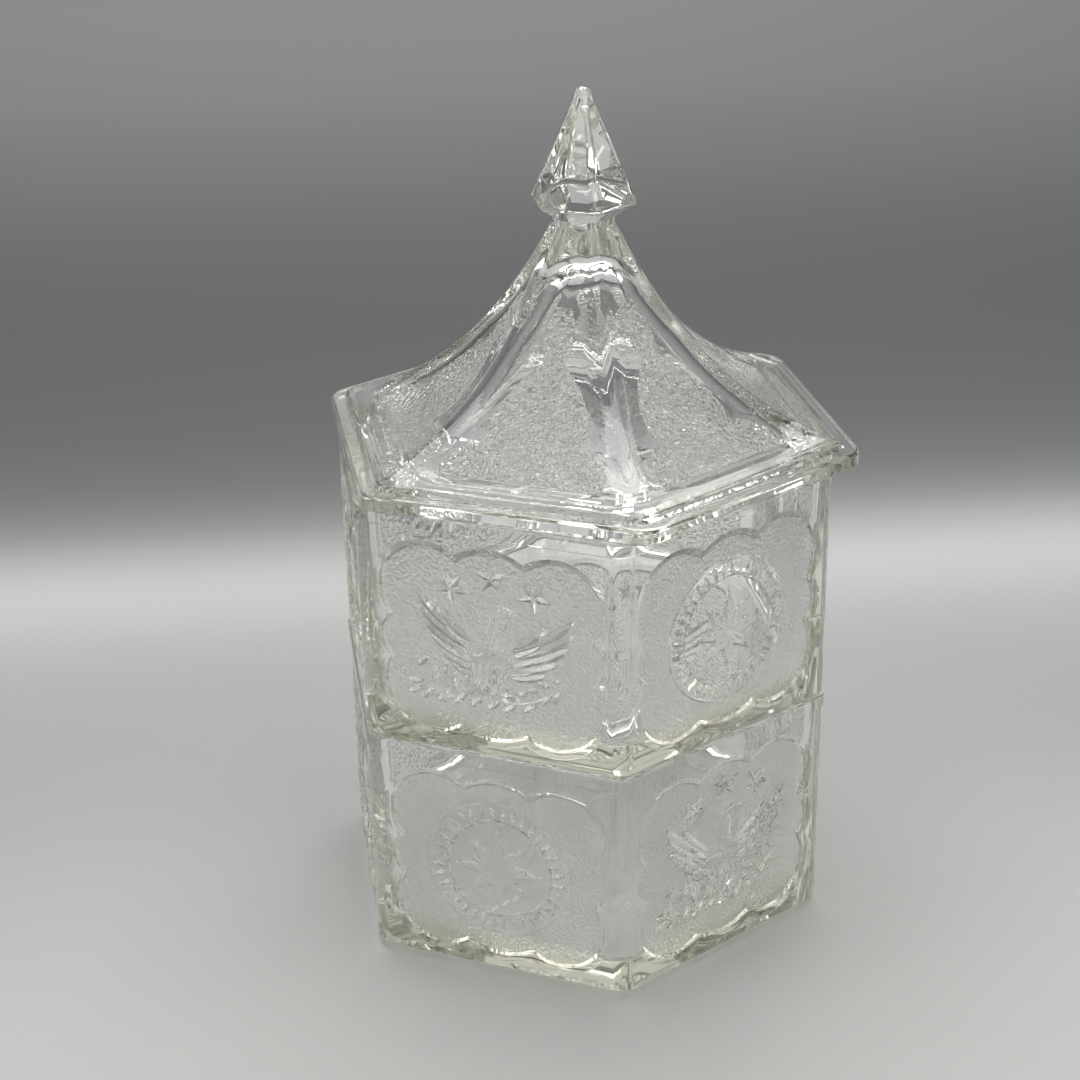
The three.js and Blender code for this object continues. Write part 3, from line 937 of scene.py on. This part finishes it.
def lid_body():
    flange = stack(
        "lid_flange",
        6,
        [
            (lip_half - 0.5, -3),
            (lip_half, -2.5),
            (lip_half, 0),
            (lid_half - 0.9, 0),
            *arc(lid_half - 0.9, 0.9, 0.9, -70, 0, 3),
            *arc(lid_half - 1.3, flange_top - 1.3, 1.3, 0, 82, 5),
        ],
        corner_round=7,
        steps=8,
    )
    roof = [curve_point(*roof_line, 1 - i / roof_steps) for i in range(roof_steps + 1)]
    roof_stack = stack(
        "lid_roof",
        6,
        [
            (67.3, 1.5),
            (67.3, flange_top),
            (66.7, 6.0),
            *roof,
            (neck_half, roof_top_height + 1.8),
            (neck_half, roof_top_height + 3.6),
            (spire_half - 1.4, spire_foot - 1.6),
            *arc(spire_half - 1.5, spire_foot, 1.5, -40, 30, 4),
            (2.6, spire_tip - 2.9),
        ],
        corner_round=3.0,
        steps=5,
        closing=arc(0, spire_tip - tip_round, tip_round, 10, 80, 5),
    )
    body = press(flange, roof_stack, "UNION")
    hollow = [
        curve_point(*hollow_line, 1 - i / hollow_steps) for i in range(hollow_steps + 1)
    ]
    slope_x, slope_y = curve_slope(*hollow_line, 0)
    dome_turn = math.atan2(-slope_y, slope_x)
    dome_radius = dome_half / math.sin(dome_turn)
    dome_middle = dome_foot - dome_radius * math.cos(dome_turn)
    dome = []
    for i in range(1, dome_steps):
        turn = dome_turn * (1 - i / dome_steps)
        dome.append(
            (dome_radius * math.sin(turn), dome_middle + dome_radius * math.cos(turn))
        )
    hollow_stack = stack(
        "lid_hollow",
        6,
        [(hollow_half + 2, -7), (hollow_half + 0.4, -3), (hollow_half, -2.4), *hollow],
        corner_round=9,
        steps=8,
        closing=dome,
    )
    return press(body, hollow_stack)


lid = lid_body()
lid.name = "lid_glass"
print("lid faces:", len(lid.data.polygons))

# %% [markdown]
# The panels of the roof follow its hollow line in three tiers. Their cutter is a six-cornered section
# that is extruded again and again down the roof, and at each step its points are set to the width of
# the floor and of the opening there.

# %% Roof panels
roof_panel_depth, roof_panel_slope, overrun_share = 1.2, 4.2, 0.3
roof_tiers = [  # start, end, width at each and swell between, as shares of the foot
    (0.27, 0.43, 0.02, 0.042, 0.034),
    (0.43, 0.72, 0.05, 0.195, 0.073),
    (0.72, 0.885, 0.258, 0.353, 0.045),
]
panel_inner = roof_tiers[0][0] * roof_foot_half
panel_outer = roof_tiers[-1][1] * roof_foot_half
panel_widening = roof_panel_slope * (1 + overrun_share)


def roof_at(distance):
    """Place and direction of the roof's line at a distance from the axis."""
    low, high = 0.0, 1.0
    for _ in range(40):
        t = (low + high) / 2
        if curve_point(*roof_line, t)[0] < distance:
            low = t
        else:
            high = t
    return curve_point(*roof_line, low), curve_slope(*roof_line, low)


def floor_width(distance):
    share = min(max(distance / roof_foot_half, roof_tiers[0][0]), roof_tiers[-1][1])
    start, end, first, last, swell = next(t for t in roof_tiers if share <= t[1])
    along = (share - start) / (end - start)
    return (
        first + (last - first) * along + swell * 4 * along * (1 - along)
    ) * roof_foot_half


def opening_width(distance, steps=120):
    widest = 0
    for i in range(-steps, steps + 1):
        shift = panel_widening * i / steps
        place = distance + shift
        if panel_inner <= place <= panel_outer:
            side = math.sqrt(max(panel_widening**2 - shift**2, 0))
            widest = max(widest, floor_width(place) + side)
    return widest


def roof_cutter(face, steps=110):
    out, across = face_ways(face)
    first, last = panel_inner - panel_widening, panel_outer + panel_widening

    def section(distance):
        (x, z), (dx, dz) = roof_at(distance)
        sunk = min(distance - first, last - distance, panel_widening) / panel_widening
        floor_half_here = floor_width(distance) * (1 + sunk) / 2
        wide = opening_width(distance)
        rise = roof_panel_depth * overrun_share
        drop = rise - (rise + roof_panel_depth) * sunk
        flat = [(-wide, 4), (-wide, rise), (-floor_half_here, drop)]
        flat += [(floor_half_here, drop), (wide, rise), (wide, 4)]
        return [
            (out * (x - dz * lift) + across * side + Vector((0, 0, z + dx * lift))) * MM
            for side, lift in flat
        ]

    start_fresh()
    bpy.ops.mesh.primitive_circle_add(vertices=6, radius=MM, fill_type="NGON")
    cutter = bpy.context.object
    cutter.name = "roof_cutter"
    for vertex, point in zip(cutter.data.vertices, section(first)):
        vertex.co = point
    give_skins(cutter)
    bpy.ops.object.mode_set(mode="EDIT")
    bpy.ops.mesh.select_all(action="SELECT")
    for i in range(1, steps + 1):
        bpy.ops.mesh.extrude_region_move(TRANSFORM_OT_translate={"value": (0, 0, 0)})
        mesh = bmesh.from_edit_mesh(cutter.data)
        ring = sorted((v for v in mesh.verts if v.select), key=lambda v: v.index)
        for vertex, point in zip(ring, section(first + (last - first) * i / steps)):
            vertex.co = point
        bmesh.update_edit_mesh(cutter.data)
    mesh = bmesh.from_edit_mesh(cutter.data)
    for f in mesh.faces:
        middle_place = f.calc_center_median() / MM
        reach = middle_place.dot(out)
        if panel_inner < reach < panel_outer:
            sideways = abs(middle_place.dot(across))
            (_, z), _ = roof_at(reach)
            if sideways < 0.5 and middle_place.z < z:
                f.material_index = STIPPLED
    bmesh.update_edit_mesh(cutter.data)
    bpy.ops.object.mode_set(mode="OBJECT")
    return face_outwards(cutter)


for face in range(6):
    press(lid, roof_cutter(face))
print("lid faces with panels:", len(lid.data.polygons))

# %% [markdown]
# The spire has a flat facet pressed into each of its six sloping sides, which leaves smooth bands
# between them and a small ledge below.


# %% Spire facets
def facet_cutter(face):
    out, across = face_ways(face)
    rise, run = spire_tip - tip_round - spire_foot, spire_half - 2.5
    length = math.hypot(rise, run)
    along = (Vector((0, 0, rise)) - out * run) / length
    normal = across.cross(along)

    def half_at(distance):
        reach = spire_half - run * distance / length - 2.4
        return max(reach * HALF_ANGLE_TAN - 0.1, 0)

    start_fresh()
    bpy.ops.mesh.primitive_circle_add(vertices=4, radius=MM, fill_type="NGON")
    cutter = bpy.context.object
    cutter.name = "facet_cutter"
    foot, top = 6.4, length - 5
    outline = [(-half_at(foot), foot), (half_at(foot), foot)]
    outline += [(half_at(top) + 0.5, top), (-half_at(top) - 0.5, top)]
    for vertex, (x, y) in zip(cutter.data.vertices, outline):
        point = out * spire_half + Vector((0, 0, spire_foot)) - normal * 0.5
        vertex.co = (point + across * x + along * y) * MM
    give_skins(cutter)
    bpy.ops.object.mode_set(mode="EDIT")
    bpy.ops.mesh.select_all(action="SELECT")
    bpy.ops.mesh.extrude_region_move(
        TRANSFORM_OT_translate={"value": tuple(normal * 4 * MM)}
    )
    bpy.ops.object.mode_set(mode="OBJECT")
    return face_outwards(cutter)


for face in range(6):
    press(lid, facet_cutter(face))

lid_height, lid_turn = 146.6, math.radians(2)
lid_shift, shift_turn = 3.4, math.radians(-21.5)
lid_place = Vector(
    (lid_shift * math.cos(shift_turn), lid_shift * math.sin(shift_turn), lid_height)
)
lid.data.transform(
    Matrix.Translation(lid_place * MM) @ Matrix.Rotation(lid_turn, 4, "Z")
)
finish_glass(lid, "lid", lid_glass)
